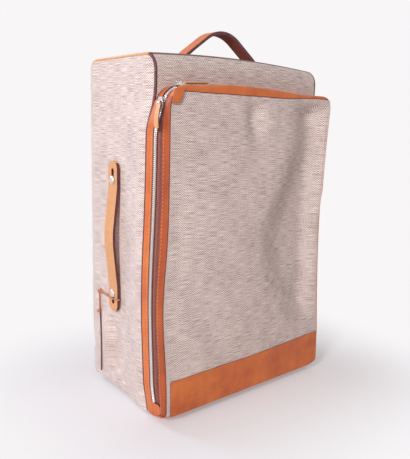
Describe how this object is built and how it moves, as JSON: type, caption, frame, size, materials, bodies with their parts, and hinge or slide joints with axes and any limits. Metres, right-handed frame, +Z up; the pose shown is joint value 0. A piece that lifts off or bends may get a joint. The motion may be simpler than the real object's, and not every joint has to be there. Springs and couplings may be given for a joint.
{
  "type": "carry-on suitcase",
  "caption": "Upright soft-sided carry-on case with a zipped front lid, leather handles, telescopic pull handle and rear wheels.",
  "frame": {"origin": "on the floor, at mid width and at the middle of the depth of body and lid", "axes": "+Z up, +Y towards the wheels and the back, -Y towards the lid; the side handle is on -X"},
  "size_m": [0.3675, 0.2265, 0.6071],
  "materials": {
    "canvas": "herringbone weave",
    "leather": "smooth, painted edges",
    "lace_leather": "waxed",
    "board": "matte",
    "zip_tape": "woven tape",
    "nickel": "polished nickel",
    "housing_plastic": "fine texture",
    "wheel_plastic": "satin",
    "tyre": "matte",
    "foot_rubber": "matte",
    "tube_aluminium": "anodised",
    "button_plastic": "satin"
  },
  "bodies": {
    "case": {"wrap_canvas": "canvas", "base_sheet": "canvas", "left_side_canvas": "canvas", "right_side_canvas": "canvas", "left_piping": "leather", "right_piping": "leather", "rear_gusset": "leather", "bottom_gusset": "leather", "lid_hinge_strip": "leather", "zip_end_tab_left": "leather", "zip_end_tab_right": "leather", "top_handle_strap": "leather", "side_handle_strap": "leather", "lace_loop": "lace_leather", "lace_tail": "lace_leather", "lace_upper_knot": "lace_leather", "lace_lower_knot": "lace_leather", "front_frame": "board", "back_board": "board", "bottom_board": "board", "top_board": "board", "left_board": "board", "right_board": "board", "corner_stays": "board", "divider_panel": "board", "rear_zip_tape": "zip_tape", "rear_zip_teeth": "nickel", "top_handle_rivets": "nickel", "side_handle_studs": "nickel", "stud_washers": "nickel", "foot_screws": "nickel", "wheel_axles": "nickel", "wheel_housing_left": "housing_plastic", "wheel_housing_right": "housing_plastic", "trolley_bezel": "housing_plastic", "trolley_bracket": "housing_plastic", "front_feet": "foot_rubber", "trolley_outer_tubes": "tube_aluminium"},
    "lid": {"lid_gusset": "leather", "lid_board": "board", "lid_canvas": "canvas", "lid_base_band": "leather", "corner_patch": "leather", "lid_zip_tape": "zip_tape", "lid_zip_teeth": "nickel"},
    "slider_left": {"zip_slider_left": "nickel"},
    "pull_left": {"zip_link_left": "nickel", "zip_tab_left": "leather"},
    "slider_right": {"zip_slider_right": "nickel"},
    "pull_right": {"zip_link_right": "nickel", "zip_tab_right": "leather"},
    "trolley_middle": {"trolley_middle_tubes": "tube_aluminium", "trolley_middle_plugs": "housing_plastic"},
    "trolley_handle": {"trolley_inner_tubes": "tube_aluminium", "trolley_grip": "housing_plastic"},
    "release_button": {"release_button": "button_plastic"},
    "wheel_left": {"wheel_hub_left": "wheel_plastic", "wheel_tyre_left": "tyre"},
    "wheel_right": {"wheel_hub_right": "wheel_plastic", "wheel_tyre_right": "tyre"}
  },
  "joints": [
    {"name": "lid_hinge", "type": "hinge", "parent": "case", "child": "lid", "pos_m": [0, -0.1112, 0.0132], "axis": [1, 0, 0], "range_deg": [0, 90]},
    {"name": "slider_left_slide", "type": "slide", "parent": "case", "child": "slider_left", "axis": [0, 0, -1], "range_m": [0, 0.43]},
    {"name": "pull_left_swing", "type": "hinge", "parent": "slider_left", "child": "pull_left", "pos_m": [-0.1714, -0.0845, 0.48], "axis": [0, 1, 0], "range_deg": [0, 170]},
    {"name": "slider_right_slide", "type": "slide", "parent": "case", "child": "slider_right", "axis": [1, 0, 0], "range_m": [0, 0.28]},
    {"name": "pull_right_swing", "type": "hinge", "parent": "slider_right", "child": "pull_right", "pos_m": [-0.145, -0.0845, 0.5064], "axis": [0, -1, 0], "range_deg": [0, 170]},
    {"name": "trolley_middle_slide", "type": "slide", "parent": "case", "child": "trolley_middle", "axis": [0, 0, 1], "range_m": [0, 0.24]},
    {"name": "trolley_handle_slide", "type": "slide", "parent": "trolley_middle", "child": "trolley_handle", "axis": [0, 0, 1], "range_m": [0, 0.24]},
    {"name": "release_button_press", "type": "slide", "parent": "trolley_handle", "child": "release_button", "axis": [0, 0, -1], "range_m": [0, 0.003], "stiffness_N_per_m": 400},
    {"name": "wheel_left_spin", "type": "hinge", "parent": "case", "child": "wheel_left", "pos_m": [-0.145, 0.0885, 0.022], "axis": [1, 0, 0], "continuous": true},
    {"name": "wheel_right_spin", "type": "hinge", "parent": "case", "child": "wheel_right", "pos_m": [0.145, 0.0885, 0.022], "axis": [1, 0, 0], "continuous": true}
  ]
}
